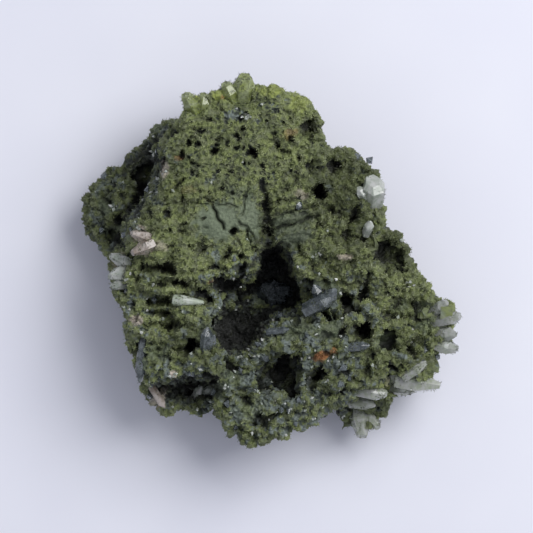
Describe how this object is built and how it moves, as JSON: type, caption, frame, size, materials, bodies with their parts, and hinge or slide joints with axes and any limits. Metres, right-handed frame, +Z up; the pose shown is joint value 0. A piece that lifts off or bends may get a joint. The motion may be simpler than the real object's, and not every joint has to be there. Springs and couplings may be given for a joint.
{
  "type": "epidote cluster",
  "caption": "Rough hollowed mass of mossy green epidote with clear and milky quartz crystals set in its rim and hollows.",
  "frame": {"origin": "the middle of the plan's box, on the plane of the broken foot", "axes": "+Z up from the broken foot, +X to the right and +Y to the top of the plan as seen from above"},
  "size_m": [0.1142, 0.1122, 0.0488],
  "materials": {
    "green_epidote": "rough mossy mass of fine green epidote needles, dark in its pits",
    "clear_quartz": "clear to smoky grey quartz, glossy flat faces with veils inside",
    "milky_quartz": "milky to pinkish quartz, satin faces, barely see-through"
  },
  "bodies": {
    "root": {"epidote_body": "green_epidote", "quartz_block": "clear_quartz", "quartz_right_tip": "clear_quartz", "quartz_lower_right": "clear_quartz", "quartz_lens": "clear_quartz", "quartz_slab": "clear_quartz", "quartz_knob_tip": "clear_quartz", "quartz_left_lens": "clear_quartz", "quartz_left_lumps": "clear_quartz", "quartz_small_prism": "clear_quartz", "quartz_top_left": "clear_quartz", "quartz_top": "clear_quartz", "quartz_centre": "clear_quartz", "quartz_west": "clear_quartz", "quartz_east": "clear_quartz", "quartz_ridge": "clear_quartz", "quartz_south": "clear_quartz", "hollow_crust": "clear_quartz", "milky_spike": "milky_quartz", "quartz_pink": "milky_quartz", "quartz_lower_left": "milky_quartz"}
  },
  "joints": []
}
